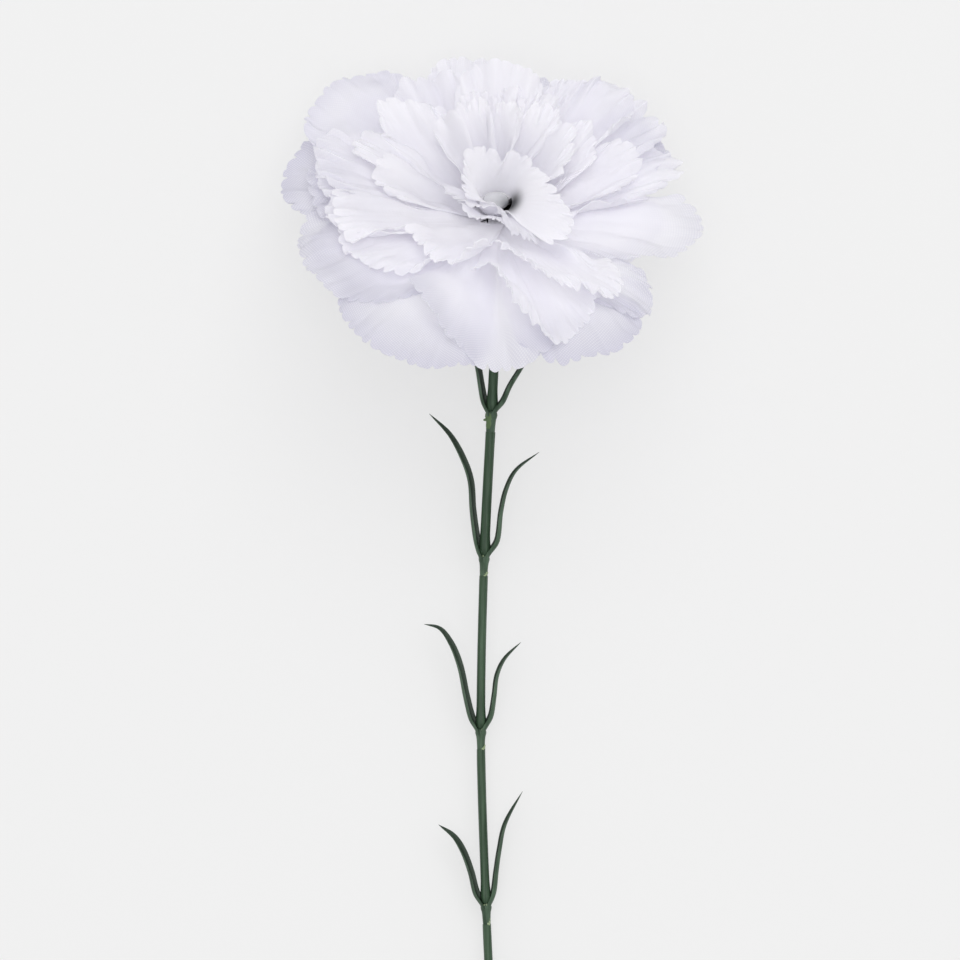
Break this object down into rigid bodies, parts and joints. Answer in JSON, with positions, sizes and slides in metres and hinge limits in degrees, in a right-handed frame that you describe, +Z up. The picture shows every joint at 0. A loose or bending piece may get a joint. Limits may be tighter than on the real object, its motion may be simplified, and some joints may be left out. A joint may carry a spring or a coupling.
{
  "type": "artificial cut carnation",
  "caption": "Artificial carnation, laid down: ruffled white fabric bloom on a bent green plastic stem with pairs of narrow curled leaves.",
  "frame": {"origin": "middle of the box in X and Y, on the surface that the flower lies on", "axes": "+Z up from the surface, +Y along the stem from the bloom to the cut end, +X across the stem"},
  "size_m": [0.0964, 0.3034, 0.0748],
  "materials": {
    "petal_fabric": "fine plain weave, heat-set, matt with a faint cool tint",
    "stem_green": "semi-matt moulded plastic with fine lengthwise streaks",
    "leaf_green": "semi-matt moulded plastic, darker in the channel, olive at the edges",
    "calyx_green": "semi-matt moulded plastic with fine ribs",
    "peg_plastic": "natural pale moulded plastic, dark with glue on one side of its head",
    "wire_steel": "drawn wire"
  },
  "bodies": {
    "root": {"stem": "stem_green", "stem_wire": "wire_steel", "leaf_pair_1": "leaf_green", "leaf_pair_2": "leaf_green", "leaf_pair_3": "leaf_green", "leaf_pair_4": "leaf_green", "leaf_pair_5": "leaf_green", "leaf_pair_6": "leaf_green", "calyx": "calyx_green", "petal_peg": "peg_plastic", "petal_layer_1": "petal_fabric", "petal_layer_2": "petal_fabric", "petal_layer_3": "petal_fabric", "petal_layer_4": "petal_fabric", "petal_layer_5": "petal_fabric", "petal_layer_6": "petal_fabric", "petal_layer_7": "petal_fabric", "petal_layer_8": "petal_fabric"}
  },
  "joints": []
}
